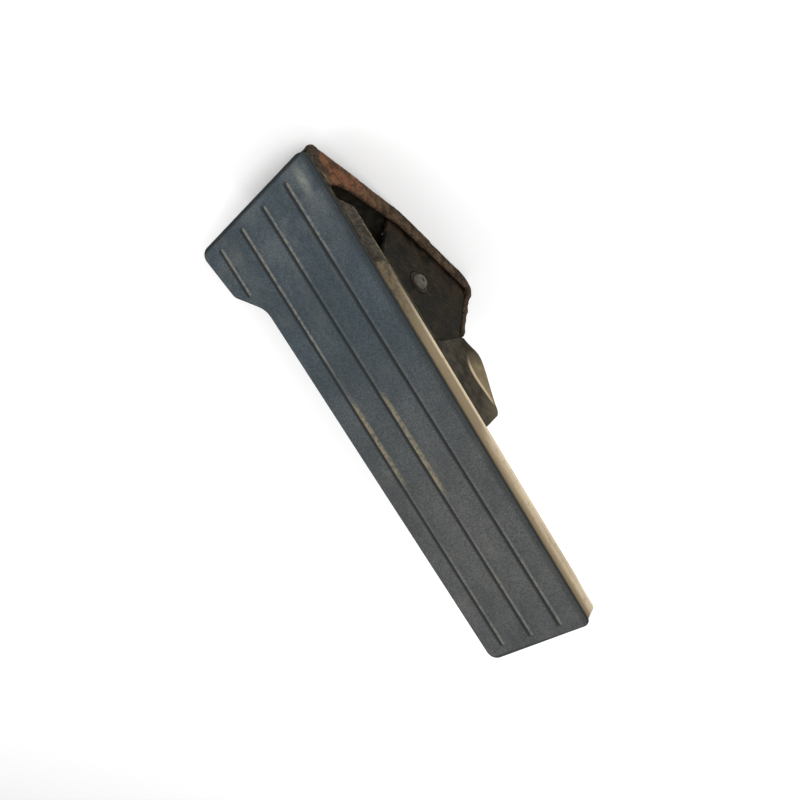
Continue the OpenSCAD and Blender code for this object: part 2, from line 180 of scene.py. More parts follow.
def rough_bead(bm, start, end, radius, seed):
    """Run of weld metal with overlapping ripples."""
    sides, ripple_pitch = 12, 2.6
    length = (end - start).length
    steps = max(8, round(length / 0.5))
    heading = (end - start) / length
    side = heading.orthogonal().normalized()
    other = heading.cross(side)
    rings = []
    for i in range(steps + 1):
        t = i / steps
        ripple = 0.86 + 0.14 * abs(math.sin(math.pi * t * length / ripple_pitch))
        r = radius * ripple * (0.35 + 0.65 * min(1, 4 * t, 4 * (1 - t)) ** 0.5)
        r *= 1 + 0.08 * noise.noise(Vector((t * length / 3, seed, 0)))
        rings.append([
            start + heading * (length * t)
            + side * (r * math.cos(math.tau * k / sides))
            + other * (r * math.sin(math.tau * k / sides))
            for k in range(sides)
        ])
    loft(bm, rings)


def finish_piece(obj, body, material, nodes):
    """Gives a piece its material and body (None leaves it unattached), and hides the nodes it replaces.
    """
    obj.data.materials.clear()
    obj.data.materials.append(material)
    if body:
        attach(obj, body)
    if nodes:
        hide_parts(*nodes)
    return obj


def object_from(bm, name):
    """New object in the scene from a bmesh, which is freed."""
    mesh = bpy.data.meshes.new(name)
    bm.to_mesh(mesh)
    bm.free()
    obj = bpy.data.objects.new(name, mesh)
    bpy.context.scene.collection.objects.link(obj)
    return obj


def shade_smooth(mesh, crease):
    """Smooth shading that breaks where faces meet at more than crease degrees."""
    mesh.polygons.foreach_set("use_smooth", [True] * len(mesh.polygons))
    mesh.set_sharp_from_angle(angle=math.radians(crease))


def new_piece(name, bm, body, material, nodes=(), on_treadle=False, crease=38):
    """Makes a piece from mesh code in millimetres."""
    bmesh.ops.recalc_face_normals(bm, faces=bm.faces)
    obj = object_from(bm, name)
    obj.data.transform(Matrix.Scale(MM, 4))
    shade_smooth(obj.data, crease)
    if on_treadle:
        obj.matrix_world = TREADLE
    return finish_piece(obj, body, material, nodes)


def node_copy(node):
    """Bmesh copy of a CAD node with its seams joined."""
    bm = bmesh.new()
    bm.from_mesh(frame["nodes"][node].data)
    bmesh.ops.remove_doubles(bm, verts=bm.verts, dist=1e-6)
    bmesh.ops.recalc_face_normals(bm, faces=bm.faces)
    return bm


def softened(node, body, material, width=0.4, segments=2):
    """Stands for a CAD node with its sharp edges rounded over."""
    bm = node_copy(node)
    bmesh.ops.dissolve_limit(
        bm, angle_limit=math.radians(0.5), verts=bm.verts, edges=bm.edges)
    obj = object_from(bm, node + "_soft")
    bevel = obj.modifiers.new("edges", "BEVEL")
    bevel.width = width * MM
    bevel.segments = segments
    bevel.limit_method = "ANGLE"
    bevel.angle_limit = math.radians(32)
    return apply_modifiers(obj, body, material, [node])


def apply_modifiers(obj, body, material, nodes, crease=38):
    """Bakes an object's modifiers into its mesh and finishes it as a piece."""
    graph = bpy.context.evaluated_depsgraph_get()
    mesh = bpy.data.meshes.new_from_object(obj.evaluated_get(graph))
    obj.modifiers.clear()
    obj.data = mesh
    shade_smooth(mesh, crease)
    return finish_piece(obj, body, material, nodes)


def weathered(node, body, material, voxel, roughen):
    """Stands for a CAD node with worn, slightly lumpy surfaces; roughen(point) is in millimetres."""
    obj = object_from(node_copy(node), node + "_worn")
    remesh = obj.modifiers.new("skin", "REMESH")
    remesh.mode = "VOXEL"
    remesh.voxel_size = voxel * MM
    apply_modifiers(obj, body, material, [node], crease=60)
    floor = min(v.co.z for v in obj.data.vertices)
    bm = bmesh.new()
    bm.from_mesh(obj.data)
    for _ in range(2):
        bmesh.ops.smooth_vert(bm, verts=bm.verts, factor=0.5, use_axis_x=True,
                              use_axis_y=True, use_axis_z=True)
    bm.normal_update()
    for v in bm.verts:
        v.co += v.normal * (roughen(v.co / MM) * MM)
        v.co.z = max(v.co.z, floor)
    bm.to_mesh(obj.data)
    bm.free()
    return obj


# ---- Material helpers ----


def srgb(r, g, b):
    """Linear colour from 0-255 display values."""
    def channel(c):
        c /= 255
        return c / 12.92 if c <= 0.04045 else ((c + 0.055) / 1.055) ** 2.4
    return (channel(r), channel(g), channel(b), 1.0)


class Finish:
    """A node material under construction. Its methods return output sockets.

    Places on a piece are its own coordinates in metres; the size of a grain is in millimetres.
    """

    def __init__(self, name, metallic=0.0, specular=0.5):
        self.material = bpy.data.materials.new(name)
        self.material.use_nodes = True
        self.tree = self.material.node_tree
        self.shader = self.tree.nodes["Principled BSDF"]
        self.shader.inputs["Metallic"].default_value = metallic
        self.shader.inputs["Specular IOR Level"].default_value = specular
        self.place = self.add("ShaderNodeTexCoord").outputs["Object"]
        split = self.add("ShaderNodeSeparateXYZ", {"Vector": self.place})
        self.x, self.y, self.z = split.outputs[0], split.outputs[1], split.outputs[2]

    def add(self, kind, inputs=None, **settings):
        node = self.tree.nodes.new(kind)
        for key, value in settings.items():
            setattr(node, key, value)
        for key, value in (inputs or {}).items():
            self.put(node.inputs[key], value)
        return node

    def put(self, socket, value):
        if isinstance(value, bpy.types.NodeSocket):
            self.tree.links.new(value, socket)
        else:
            socket.default_value = value

    def stretch(self, x, y, z):
        """Coordinates scaled by different amounts along the three axes."""
        return self.add("ShaderNodeMapping", {"Vector": self.place, "Scale": (x, y, z)}).outputs[0]

    def noise(self, size, detail=4.0, roughness=0.55, place=None, distortion=0.0):
        """Cloudy noise whose features are about size millimetres across."""
        return self.add("ShaderNodeTexNoise", {
            "Vector": place or self.place, "Scale": 1000.0 / size, "Detail": detail,
            "Roughness": roughness, "Distortion": distortion}).outputs[0]

    def cells(self, size):
        """Distance from cell centres about size millimetres apart."""
        return self.add("ShaderNodeTexVoronoi", {
            "Vector": self.place, "Scale": 1000.0 / size}).outputs["Distance"]

    def maths(self, operation, a, b=0.0):
        node = self.add("ShaderNodeMath", operation=operation)
        self.put(node.inputs[0], a)
        self.put(node.inputs[1], b)
        return node.outputs[0]

    def band(self, value, low, high, start=0.0, end=1.0):
        """Smoothly remaps low..high to start..end."""
        return self.add("ShaderNodeMapRange", {
            "Value": value, "From Min": low, "From Max": high, "To Min": start, "To Max": end},
            interpolation_type="SMOOTHSTEP").outputs[0]

    def near(self, value, centre, inner, outer):
        """1 within inner of centre, falling to 0 at outer."""
        gap = self.maths("ABSOLUTE", self.maths("SUBTRACT", value, centre))
        return self.band(gap, outer, inner)

    def either(self, *values):
        """Largest of masks."""
        result = values[0]
        for value in values[1:]:
            result = self.maths("MAXIMUM", result, value)
        return result

    def both(self, *values):
        """Product of masks."""
        result = values[0]
        for value in values[1:]:
            result = self.maths("MULTIPLY", result, value)
        return result

    def mix(self, share, a, b):
        """Colour a, turning to b as share goes from 0 to 1."""
        node = self.add("ShaderNodeMix", data_type="RGBA")
        self.put(node.inputs["Factor"], share)
        self.put(node.inputs[6], a)
        self.put(node.inputs[7], b)
        return node.outputs[2]

    def occlusion(self, distance):
        """1 in the open, 0 in corners within distance millimetres."""
        return self.add("ShaderNodeAmbientOcclusion", {"Distance": distance * MM},
                        samples=8).outputs["AO"]

    def worn_edges(self, radius):
        """Share of wear on outer edges, from how far a rounded normal leaves the true one."""
        rounded = self.add("ShaderNodeBevel", {"Radius": radius * MM}, samples=6).outputs[0]
        normal = self.add("ShaderNodeNewGeometry").outputs["Normal"]
        dot = self.add("ShaderNodeVectorMath", {0: rounded, 1: normal}, operation="DOT_PRODUCT")
        return self.band(dot.outputs["Value"], 0.99, 0.85)

    def done(self, colour, roughness, height=None, depth=0.1, strength=1.0):
        """Connects colour, roughness and a bump of depth millimetres."""
        self.put(self.shader.inputs["Base Color"], colour)
        self.put(self.shader.inputs["Roughness"], roughness)
        if height is not None:
            bump = self.add("ShaderNodeBump", {
                "Height": height, "Distance": depth * MM, "Strength": strength})
            self.put(self.shader.inputs["Normal"], bump.outputs[0])
        return self.material


def pad_rubber():
    """Slate-grey grained rubber, neutral towards the toe, dusty at the heel and along its ribs, with
    painted shade on its edges and beside its ribs and a painted highlight on the rib crests.
    """
    f = Finish("pad_rubber", specular=0.2)
    cloud = f.noise(38, detail=5)
    soft = f.band(cloud, 0.3, 0.7)
    colour = f.mix(soft, srgb(55, 66, 72), srgb(70, 80, 86))
    toe = f.band(f.y, -0.02, 0.12)
    colour = f.mix(toe, colour, f.mix(soft, srgb(69, 71, 71), srgb(86, 87, 85)))
    fine = f.noise(0.8, detail=3)
    colour = f.mix(f.band(fine, 0.38, 0.62, 0.0, 0.5), colour, srgb(34, 39, 42))
    smears = f.band(f.noise(9, detail=5, place=f.stretch(1, 0.35, 1)), 0.5, 0.72)
    colour = f.mix(f.both(smears, 0.12), colour, srgb(118, 116, 106))
    # Fine dried dust: in patches at the heel, with one pale spot, and thinly at the toe
    specks = f.band(f.noise(0.5, detail=4, roughness=0.75), 0.48, 0.64)
    patches = f.band(f.noise(17, detail=4), 0.42, 0.62)
    heel = f.band(f.y, -0.01, -0.07)
    colour = f.mix(f.both(specks, patches, heel, 0.65), colour, srgb(128, 128, 126))
    colour = f.mix(f.both(specks, patches, f.band(f.y, 0.09, 0.19), 0.3), colour, srgb(128, 126, 120))
    spot = f.both(f.near(f.x, -0.028, 0.0004, 0.0042), f.near(f.y, -0.077, 0.001, 0.012))
    colour = f.mix(f.both(spot, f.band(fine, 0.36, 0.56, 0.25, 1.0), 0.6), colour, srgb(136, 138, 126))
    # Rubbed crests of the ribs, lightened also as a painted highlight, and tan dirt on two of them
    # half-way along
    pitch = RIB_SPACING * MM
    shifted = f.maths("ADD", f.x, 10.5 * pitch - RIB_SHIFT * MM)
    rib_side = f.maths("SUBTRACT", f.maths("FLOORED_MODULO", shifted, pitch), pitch / 2)
    on_ribs = f.both(f.band(f.x, 0.046, 0.044), f.band(f.z, 0.0499, 0.05005))
    crumbs = f.band(f.noise(2.0, detail=4), 0.36, 0.58, 0.3, 1.0)
    heel_ends = f.either(f.band(f.y, -0.022, -0.05),
                         f.both(f.band(f.x, 0.012, 0.016), f.band(f.y, 0.03, 0.0)))
    rubbed = f.either(heel_ends, f.both(f.band(f.y, 0.11, 0.17), 0.7), 0.2)
    # Painted highlight with rubbed wear along each rib's crest, on its lit side
    crest_highlight = f.both(f.near(rib_side, -0.0003, 0.0004, 0.0012), on_ribs, f.band(f.z, 0.0505, 0.0509))
    colour = f.mix(f.both(crest_highlight, rubbed, crumbs, 0.9), colour, srgb(112, 110, 103))
    second = f.both(f.near(f.x, 0.0006, 0.0007, 0.0021),
                    f.band(f.y, 0.035, 0.055), f.band(f.y, 0.115, 0.1))
    third = f.both(
        f.near(f.x, 0.0206, 0.0006, 0.0019), f.band(f.y, 0.03, 0.045), f.band(f.y, 0.098, 0.085))
    colour = f.mix(f.both(f.either(second, third), crumbs, 0.85), colour, srgb(126, 117, 96))
    # Painted shadow: a dark line along the right side of every rib, from one distance ahead of the heel
    heel_line = f.maths("MULTIPLY", f.maths("SUBTRACT", f.x, PAD_SHIFT * MM), HEEL_SKEW)
    from_heel = f.maths("SUBTRACT", f.maths("SUBTRACT", f.y, HEEL_END * MM), heel_line)
    corner = f.both(f.near(rib_side, 0.0019, 0.0010, 0.0018), on_ribs,
                    f.band(from_heel, 0.0058, 0.0078), f.band(f.y, 0.2062, 0.2042),
                    f.either(f.band(f.x, 0.033, 0.031), f.band(f.y, -0.043, -0.045)))
    colour = f.mix(f.both(corner, 0.92), colour, srgb(17, 19, 20))
    # Painted shade on the rolled edge and down the pad's sides, widest along the heel, and a thin dark
    # line along the toe
    left_line = f.maths("MULTIPLY", f.y, SIDE_TAPER)
    from_left = f.maths("SUBTRACT", f.maths("ADD", f.x, (HALF_WIDTH - PAD_SHIFT) * MM), left_line)
    edge_shade = f.either(f.band(from_heel, 0.0036, 0.0016), f.band(f.z, 0.04995, 0.0491),
                   f.both(f.band(from_left, 0.0052, 0.001), 0.6),
                   f.both(f.band(f.y, 0.2092, 0.2106), 0.8))
    colour = f.mix(f.both(edge_shade, 0.9), colour, srgb(22, 25, 25))
    grain = f.maths("ADD", f.cells(0.85), f.both(f.noise(0.45, detail=2), 0.7))
    height = f.maths("ADD", grain, f.both(f.noise(9), 1.5))
    return f.done(colour, f.band(cloud, 0.3, 0.7, 0.62, 0.8), height, depth=0.2, strength=0.9)


def dusty_steel():
    """Sheet steel under tan dust: dark dirt and painted shade beside the pad, brown at the heel, pale
    dust with a painted highlight along the lip.
    """
    f = Finish("dusty_steel", specular=0.15)
    streaks = f.noise(7, detail=5, place=f.stretch(1, 0.14, 1))
    mottle = f.noise(3.5, detail=5)
    fine = f.noise(0.7, detail=4)
    speckle = f.band(mottle, 0.35, 0.65)
    dust = f.mix(f.band(streaks, 0.3, 0.7), srgb(150, 134, 109), srgb(184, 169, 144))
    dust = f.mix(f.both(f.band(f.y, 0.100, 0.082), 0.8), dust, srgb(118, 106, 84))
    # Painted shade with brown dirt: the skirt turns darker brown towards the pad's edge
    dust = f.mix(f.band(f.z, 0.0375, 0.0445), dust, srgb(118, 103, 78))
    # Pale dust and a painted highlight along the rolled lip at the skirt's lower edge
    lip = f.both(f.band(f.z, 0.0362, 0.0347), f.band(streaks, 0.25, 0.6, 0.3, 0.8))
    dust = f.mix(lip, dust, srgb(206, 190, 160))
    dust = f.mix(f.both(f.band(mottle, 0.52, 0.72), 0.35), dust, srgb(112, 97, 74))
    dust = f.mix(f.both(f.band(fine, 0.5, 0.68), 0.3), dust, srgb(92, 80, 62))
    heel = f.band(f.y, 0.045, -0.016)
    dust = f.mix(f.both(heel, 0.9), dust, f.mix(speckle, srgb(56, 49, 38), srgb(94, 82, 64)))
    # Painted shade with dark dirt on the shoulder just under the pad's edge, and over the whole plate
    # at the heel
    dirt_and_shade_under_pad = f.either(f.both(f.band(f.z, 0.0440, 0.0460), f.band(f.y, 0.17, 0.02, 0.4, 1.0)),
                        f.band(f.y, -0.019, -0.021))
    colour = f.mix(dirt_and_shade_under_pad, dust, f.mix(speckle, srgb(30, 28, 22), srgb(62, 56, 43)))
    facing = f.add("ShaderNodeSeparateXYZ", {
        "Vector": f.add("ShaderNodeNewGeometry").outputs["Normal"]}).outputs[0]
    side = f.band(f.maths("ABSOLUTE", facing), 0.2, 0.6)
    paint = f.mix(f.band(mottle, 0.35, 0.7), srgb(42, 40, 36), srgb(84, 75, 62))
    colour = f.mix(side, paint, colour)
    bare = f.both(f.worn_edges(0.5), f.band(f.noise(5), 0.4, 0.6), f.band(f.y, 0.0, 0.04), 0.4)
    colour = f.mix(bare, colour, srgb(150, 140, 124))
    height = f.maths("ADD", fine, f.both(mottle, 2.0))
    return f.done(colour, f.band(mottle, 0.3, 0.7, 0.8, 0.95), height, depth=0.14, strength=0.8)


def frame_steel():
    """Grimy dark steel with rubbed edges, a tan lip along the lobe and a painted highlight along the
    lip's fold.
    """
    f = Finish("frame_steel", specular=0.1)
    mottle = f.noise(8, detail=6)
    fine = f.noise(2.0, detail=6, roughness=0.6)
    colour = f.mix(f.band(mottle, 0.35, 0.65), srgb(38, 35, 29), srgb(62, 57, 47))
    heel = f.both(f.band(f.y, 0.0, -0.03), f.band(fine, 0.44, 0.66, 0.0, 0.5))
    colour = f.mix(heel, colour, srgb(84, 79, 70))
    edge = f.both(f.band(f.y, 0.0, -0.02), f.band(f.z, 0.0266, 0.0250), f.band(fine, 0.35, 0.6))
    colour = f.mix(f.both(edge, 0.6), colour, srgb(112, 101, 82))
    colour = f.mix(f.both(f.band(fine, 0.44, 0.3), 0.5), colour, srgb(24, 22, 18))
    specks = f.both(f.band(f.noise(0.9, detail=3), 0.6, 0.7), f.band(f.noise(14), 0.45, 0.6), 0.6)
    colour = f.mix(specks, colour, srgb(136, 124, 101))
    grain = f.noise(4, detail=5, place=f.stretch(1, 0.4, 1))
    across = f.maths("ABSOLUTE", f.x)
    lip = f.mix(f.band(grain, 0.3, 0.7), srgb(94, 84, 66), srgb(124, 111, 87))
    out = f.both(f.band(across, 0.0330, 0.0336), f.band(f.y, 0.047, 0.064))
    colour = f.mix(out, colour, lip)
    colour = f.mix(f.both(f.band(across, 0.0366, 0.0392), 0.2), colour, srgb(84, 73, 55))
    # Painted highlight: a pale line along the fold of the lip
    fold = f.both(f.near(across, 0.0331, 0.0002, 0.0005), f.band(f.y, 0.050, 0.060),
                  f.band(f.y, 0.086, 0.080))
    colour = f.mix(f.both(fold, 0.9), colour, srgb(176, 159, 128))
    toe = f.both(f.band(f.y, 0.074, 0.088), f.band(f.z, 0.03, 0.004), 0.6)
    colour = f.mix(toe, colour, srgb(100, 90, 70))
    # The web's edge just ahead of the bracket stays dark
    rubbed = f.both(f.worn_edges(0.7), f.band(f.noise(3), 0.35, 0.55),
                    f.band(f.maths("ABSOLUTE", f.maths("SUBTRACT", f.y, 0.034)), 0.008, 0.018), 0.6)
    colour = f.mix(rubbed, colour, srgb(140, 127, 103))
    height = f.maths("ADD", fine, f.both(mottle, 2.0))
    return f.done(colour, f.band(fine, 0.3, 0.7, 0.75, 0.95), height, depth=0.2, strength=0.8)


def rusty_steel():
    """Scaly brown rust, redder on the raised nose, grimy at the front, with painted near-black shade
    inside.
    """
    f = Finish("rusty_steel", specular=0.08)
    scale = f.noise(5, detail=6, roughness=0.65)
    fine = f.noise(1.1, detail=4)
    streaks = f.noise(4, detail=6, roughness=0.6, place=f.stretch(1, 0.22, 1))
    brown = f.mix(f.band(scale, 0.35, 0.65), srgb(44, 35, 27), srgb(82, 66, 50))
    red = f.mix(f.band(streaks, 0.36, 0.62), srgb(48, 37, 31), srgb(112, 70, 46))
    red = f.mix(f.both(f.band(f.noise(1.6, detail=5), 0.46, 0.64), 0.55), red, srgb(104, 88, 68))
    red = f.mix(f.both(f.band(f.noise(2.2, detail=5), 0.5, 0.36), 0.6), red, srgb(42, 33, 28))
    nose = f.both(f.band(f.y, -0.03, -0.065), f.band(f.noise(16), 0.3, 0.6, 0.6, 1.0))
    colour = f.mix(nose, brown, red)
    front = f.mix(f.band(scale, 0.35, 0.65), srgb(34, 28, 22), srgb(68, 55, 43))
    colour = f.mix(f.band(f.y, 0.012, 0.034), colour, front)
    colour = f.mix(f.both(f.band(fine, 0.54, 0.68), 0.5), colour, srgb(112, 94, 70))
    colour = f.mix(f.both(f.band(f.noise(11, detail=5), 0.55, 0.68), 0.6), colour, srgb(36, 29, 23))
    # Grime with painted shade just under the tread plate, from its level above the pivot in the
    # treadle's frame
    above_pivot = f.maths("SUBTRACT", f.z, PIVOT.z)
    level = f.maths(
        "SUBTRACT", f.both(above_pivot, math.cos(REST_SLOPE)), f.both(f.y, math.sin(REST_SLOPE)))
    grime_and_shade = f.both(f.band(level, 0.031, 0.040), f.band(f.noise(6, detail=5), 0.3, 0.6, 0.5, 1.0))
    smeared = f.mix(f.band(streaks, 0.35, 0.65), srgb(26, 23, 18), srgb(92, 83, 63))
    colour = f.mix(grime_and_shade, colour, smeared)
    tip = f.band(f.y, -0.0875, -0.0925)
    tip_grime = f.mix(f.band(fine, 0.4, 0.65), srgb(28, 26, 23), srgb(66, 61, 52))
    colour = f.mix(f.both(tip, 0.85), colour, tip_grime)
    colour = f.mix(f.both(f.worn_edges(0.9), f.band(fine, 0.4, 0.6), 0.5), colour, srgb(124, 99, 70))
    # Painted shade: near-black inside the turned-up edges, whose inner faces draw in towards the toe
    across = f.maths("ADD", f.maths("ABSOLUTE", f.x), f.both(f.maths("ADD", f.y, 0.0945), 0.01424))
    inside = f.both(
        f.band(across, 0.0331, 0.0323), f.band(f.y, -0.090, -0.084), f.band(f.y, 0.038, 0.034))
    interior_shade = f.mix(f.band(scale, 0.35, 0.65), srgb(25, 25, 20), srgb(38, 37, 31))
    colour = f.mix(f.both(inside, 0.92), colour, interior_shade)
    shade = f.band(f.occlusion(12), 0.25, 0.6)
    colour = f.mix(shade, srgb(12, 10, 8), colour)
    height = f.maths("ADD", f.both(scale, 2.5), fine)
    return f.done(colour, f.band(fine, 0.3, 0.7, 0.85, 0.97), height, depth=0.3, strength=0.8)


def grimy_steel():
    """Dark brown oily dirt on steel, with a little rust near the floor and grains of dust."""
    f = Finish("grimy_steel", specular=0.06)
    mottle = f.noise(9, detail=6)
    fine = f.noise(1.4, detail=5, roughness=0.65)
    colour = f.mix(f.band(mottle, 0.35, 0.66), srgb(19, 18, 14), srgb(40, 36, 28))
    rust = f.both(f.band(f.z, 0.03, 0.006), f.band(f.noise(9, detail=5), 0.38, 0.62), 0.6)
    colour = f.mix(rust, colour, srgb(60, 46, 34))
    scratches = f.noise(2.0, detail=4, place=f.stretch(1, 0.3, 1.6), distortion=1.2)
    colour = f.mix(f.both(f.band(scratches, 0.56, 0.7), 0.4), colour, srgb(78, 72, 58))
    colour = f.mix(f.both(f.band(fine, 0.46, 0.34), 0.6), colour, srgb(13, 12, 10))
    grains = f.both(f.band(f.noise(0.8, detail=3), 0.62, 0.72), f.band(f.noise(13), 0.45, 0.62))
    colour = f.mix(f.both(grains, 0.55), colour, srgb(120, 108, 86))
    colour = f.mix(f.both(f.worn_edges(0.8), f.band(fine, 0.4, 0.6), 0.3), colour, srgb(84, 72, 56))
    height = f.maths("ADD", fine, f.both(mottle, 2.2))
    return f.done(colour, f.band(mottle, 0.3, 0.7, 0.6, 0.88), height, depth=0.25, strength=0.9)


def weld_steel():
    """Dull weld metal with brown scale between its ripples."""
    f = Finish("weld_steel", metallic=0.4, specular=0.4)
    fine = f.noise(1.3, detail=5)
    colour = f.mix(f.band(fine, 0.35, 0.65), srgb(58, 48, 40), srgb(112, 98, 84))
    return f.done(colour, f.band(fine, 0.3, 0.7, 0.5, 0.8), fine, depth=0.15)


def bare_steel(name, dark, light, rough_low, rough_high, grime_and_shade, metallic=0.75):
    """Turned or drawn steel with fine marks, darkened in its corners to a given display colour: painted
    shade, with grime.
    """
    f = Finish(name, metallic=metallic, specular=0.3)
    marks = f.noise(0.7, detail=3, place=f.stretch(0.25, 1, 1))
    cloud = f.noise(3.2, detail=5)
    colour = f.mix(f.band(cloud, 0.32, 0.68), srgb(*dark), srgb(*light))
    colour = f.mix(f.both(f.band(marks, 0.5, 0.7), 0.35), colour, srgb(*dark))
    # Painted shade with grime: darker in corners, from occlusion
    colour = f.mix(f.band(f.occlusion(2.5), 0.75, 0.45), colour, srgb(*grime_and_shade))
    height = f.maths("ADD", marks, f.both(cloud, 1.5))
    return f.done(colour, f.band(cloud, 0.3, 0.7, rough_low, rough_high), height, depth=0.06)


def moulded(name, dark, light, grain, rough_low, rough_high):
    """Moulded plastic or rubber: fine grain, slight bloom and patches of dust."""
    f = Finish(name, specular=0.4)
    cloud = f.noise(14, detail=5)
    fine = f.noise(grain, detail=3)
    colour = f.mix(f.band(cloud, 0.35, 0.68), srgb(*dark), srgb(*light))
    dust = f.both(f.band(f.noise(2.4, detail=5), 0.55, 0.75), 0.18)
    colour = f.mix(dust, colour, srgb(112, 103, 86))
    colour = f.mix(f.both(f.worn_edges(0.5), 0.3), colour, srgb(96, 94, 90))
    height = f.maths("ADD", fine, f.both(cloud, 0.6))
    return f.done(colour, f.band(cloud, 0.3, 0.7, rough_low, rough_high), height, depth=0.07)


def board_green():
    """Lacquered circuit board with copper tracks under the lacquer."""
    f = Finish("board_green", specular=0.5)
    tracks = f.add("ShaderNodeTexVoronoi", {"Vector": f.stretch(1, 1, 0.5), "Scale": 420.0},
                   distance="MANHATTAN", feature="DISTANCE_TO_EDGE").outputs["Distance"]
    fine = f.noise(0.8)
    colour = f.mix(f.band(tracks, 0.10, 0.04), srgb(24, 74, 42), srgb(62, 118, 70))
    colour = f.mix(f.both(f.band(fine, 0.5, 0.7), 0.3), colour, srgb(30, 60, 38))
    return f.done(colour, 0.35, tracks, depth=0.04)


RUBBER = pad_rubber()
DUSTY = dusty_steel()
FRAME = frame_steel()
RUST = rusty_steel()
GRIMY = grimy_steel()
WELD = weld_steel()
BLACK_RUBBER = moulded("black_rubber", (22, 22, 22), (42, 41, 39), 0.5, 0.65, 0.85)
BLACK_PLASTIC = moulded("black_plastic", (24, 25, 26), (38, 39, 40), 0.35, 0.42, 0.62)
ROTOR_PLASTIC = moulded("rotor_plastic", (66, 66, 68), (86, 86, 88), 0.4, 0.4, 0.55)
BRONZE = bare_steel("bush_bronze", (30, 25, 18), (52, 44, 31), 0.5, 0.75, (12, 11, 9))
PLATED = bare_steel("plated_steel", (118, 114, 104), (164, 160, 148), 0.35, 0.6, (62, 52, 40))
SPRING = bare_steel("spring_steel", (70, 66, 62), (112, 108, 104), 0.35, 0.6, (44, 34, 26))
PIN = bare_steel("pin_steel", (64, 60, 54), (98, 93, 84), 0.6, 0.85, (26, 23, 18), 0.25)
BRASS = bare_steel("pin_brass", (150, 118, 58), (196, 160, 92), 0.25, 0.45, (80, 62, 34))
BOARD = board_green()


# ---- The treadle ----


def tread_corners():
    """Corners of the pad's plan as (x, y, radius)."""
    def half_width(station):
        return HALF_WIDTH - SIDE_TAPER * station

    def heel(across):
        return HEEL_END + HEEL_SKEW * (across - PAD_SHIFT)

    left, toe, toe_skew = PAD_SHIFT - half_width(HEEL_END), half_width(TOE_END), 0.6
    flare_reach, flare_slant, flare_end, blend_end = 57.0, 4, -49.4, -32.7
    corner, tight_corner, flare_corner = 6, 4, 14
    return [
        (left, heel(left), corner),
        (flare_reach, heel(flare_reach), corner),
        (flare_reach - flare_slant, flare_end, corner),
        (PAD_SHIFT + half_width(blend_end), blend_end, flare_corner),
        (PAD_SHIFT + toe, TOE_END + toe_skew, corner),
        (PAD_SHIFT - toe, TOE_END - toe_skew, tight_corner),
    ]


def outline_step(station):
    """Longest step along the outline: short where the skirt starts."""
    return 0.5 if SKIRT_START - 2 < station < SKIRT_START + SKIRT_ROUNDING + 1 else 3.0


OUTLINE = rounded_outline(tread_corners(), outline_step)
NORMALS = outline_normals(OUTLINE)


def plan_ring(inset, level):
    """The pad's outline drawn in by inset, at a level that may differ from point to point."""
    levels = level if isinstance(level, list) else [level] * len(OUTLINE)
    insets = inset if isinstance(inset, list) else [inset] * len(OUTLINE)
    return [
        Vector((p.x - n.x * i, p.y - n.y * i, z))
        for p, n, i, z in zip(OUTLINE, NORMALS, insets, levels)
    ]


def add_rib(bm, x, start, end):
    """Moulded rib with a rounded top, a fillet at its foot and run-out ends."""
    half = [(2.1, -0.3), (2.1, 0.0), (1.6, 0.06), (1.3, 0.3), (1.05, 0.8), (0.65, 1.1), (0.0, 1.2)]
    profile = half + [(-a, b) for a, b in reversed(half[:-1])]
    length, run_out = end - start, 2.4
    stops = [0, 0.25, 0.7, 1.4, run_out]
    stations = stops + [length * k / 24 for k in range(1, 24)] + [length - s for s in reversed(stops)]
    rings = []
    for s in stations:
        swell = math.sqrt(max(0.0, 1 - (1 - min(s, length - s, run_out) / run_out) ** 2))
        rings.append([
            Vector((x + a * (0.45 + 0.55 * swell), start + s,
                    PAD_TOP + (b if b < 0 else b * (0.06 + 0.94 * swell))))
            for a, b in profile
        ])
    loft(bm, rings)


def tread_pad():
    """Rubber pad with a rolled edge, its ribs and its moulded fixing plugs."""
    bm = bmesh.new()
    edge = [
        (1.0, 47.05), (0.25, 47.15), (0.0, 47.5), (0.0, 48.2), (0.12, 48.8), (0.45, 49.3),
        (0.95, 49.67), (1.6, 49.89), (2.3, 49.98), (3.0, 50.0), (3.6, 50.0),
    ]
    loft(bm, [plan_ring(inset, level) for inset, level in edge])
    # Three long ribs, then a short one on the flare; each starts a little further from the heel
    short_rib_end = RIB_START + 38.6
    for i, end in enumerate((RIB_END, RIB_END, RIB_END, short_rib_end)):
        add_rib(bm, (i - 1) * RIB_SPACING + RIB_SHIFT, RIB_START + 2 * i, end)
    plug = [
        (0, 47.3), (3.9, 47.3), (3.9, 44.5), (4.3, 44.42), (5.8, 44.38), (6.0, 44.1), (5.6, 43.5),
        (4.7, 42.6), (4.0, 42.1), (3.2, 42.0), (1.2, 42.0), (0.9, 42.5), (0, 42.6),
    ]
    for x in (-20, 20):
        for station in (104, 144, 184):
            lathe(bm, plug, Matrix.Translation((x, station, 0)))
    new_piece("tread_pad_moulding", bm, "treadle", RUBBER, ["tread_pad"], True)


